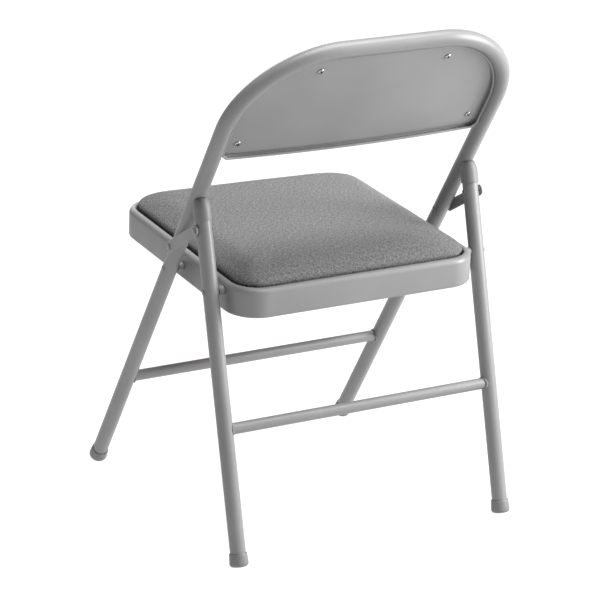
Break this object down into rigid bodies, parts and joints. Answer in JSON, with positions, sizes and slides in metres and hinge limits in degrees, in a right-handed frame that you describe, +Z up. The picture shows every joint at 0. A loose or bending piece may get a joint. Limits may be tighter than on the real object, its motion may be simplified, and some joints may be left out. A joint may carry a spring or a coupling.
{
  "type": "folding chair",
  "caption": "Tubular steel folding chair with an arched back frame, a padded seat in a pressed pan and a padded backrest.",
  "frame": {"origin": "on the floor, under the middle of the chair's width and depth", "axes": "+Z up, the sitter faces -Y, +X is the sitter's left"},
  "size_m": [0.4862, 0.5725, 0.7759],
  "materials": {
    "paint": "smooth grey enamel with a soft sheen",
    "plastic": "satin grey moulding",
    "fabric": "heathered grey weave",
    "bright": "zinc plate",
    "board": "raw board"
  },
  "bodies": {
    "frame": {"front_frame": "paint", "front_brace": "paint", "backrest_panel": "paint", "backrest_board": "board", "backrest_pad": "fabric", "backrest_screw_1": "bright", "backrest_screw_2": "bright", "backrest_screw_3": "bright", "backrest_screw_4": "bright", "front_foot_left": "plastic", "front_foot_right": "plastic", "seat_front_rivet_left": "paint", "seat_front_rivet_right": "paint", "seat_front_spacer_left": "paint", "seat_front_spacer_right": "paint", "link_front_rivet_left": "paint", "link_front_rivet_right": "paint", "link_front_washer_left": "paint", "link_front_washer_right": "paint"},
    "seat": {"seat_pan": "paint", "seat_board": "board", "seat_cushion": "fabric", "seat_screw_1": "bright", "seat_screw_2": "bright", "seat_screw_3": "bright", "seat_screw_4": "bright", "seat_rear_rivet_left": "paint", "seat_rear_rivet_right": "paint", "seat_rear_spacer_left": "paint", "seat_rear_spacer_right": "paint"},
    "rear_legs": {"rear_brace": "paint", "rear_leg_left": "paint", "rear_leg_right": "paint", "rear_leg_cap_left": "plastic", "rear_leg_cap_right": "plastic", "rear_foot_left": "plastic", "rear_foot_right": "plastic", "link_rear_rivet_tail_left": "paint", "link_rear_rivet_tail_right": "paint"},
    "left_link": {"link_left": "paint", "link_rear_rivet_head_left": "paint", "link_rear_washer_left": "paint"},
    "right_link": {"link_right": "paint", "link_rear_rivet_head_right": "paint", "link_rear_washer_right": "paint"}
  },
  "joints": [
    {"name": "seat_fold", "type": "hinge", "parent": "frame", "child": "seat", "pos_m": [0, 0.00938, 0.39885], "axis": [-1, 0, 0], "range_deg": [0, 114]},
    {"name": "rear_leg_fold", "type": "hinge", "parent": "seat", "child": "rear_legs", "pos_m": [0, 0.14459, 0.39781], "axis": [1, 0, 0], "range_deg": [0, 66]},
    {"name": "left_link_turn", "type": "hinge", "parent": "frame", "child": "left_link", "pos_m": [0, 0.03965, 0.44051], "axis": [-1, 0, 0], "range_deg": [0, 138]},
    {"name": "right_link_turn", "type": "hinge", "parent": "frame", "child": "right_link", "pos_m": [0, 0.03965, 0.44051], "axis": [-1, 0, 0], "range_deg": [0, 138]}
  ],
  "couplings": [
    {"joint": "rear_leg_fold", "follows": "seat_fold", "ratio": 0.5786},
    {"joint": "left_link_turn", "follows": "seat_fold", "ratio": 1.2102},
    {"joint": "right_link_turn", "follows": "seat_fold", "ratio": 1.2102}
  ]
}
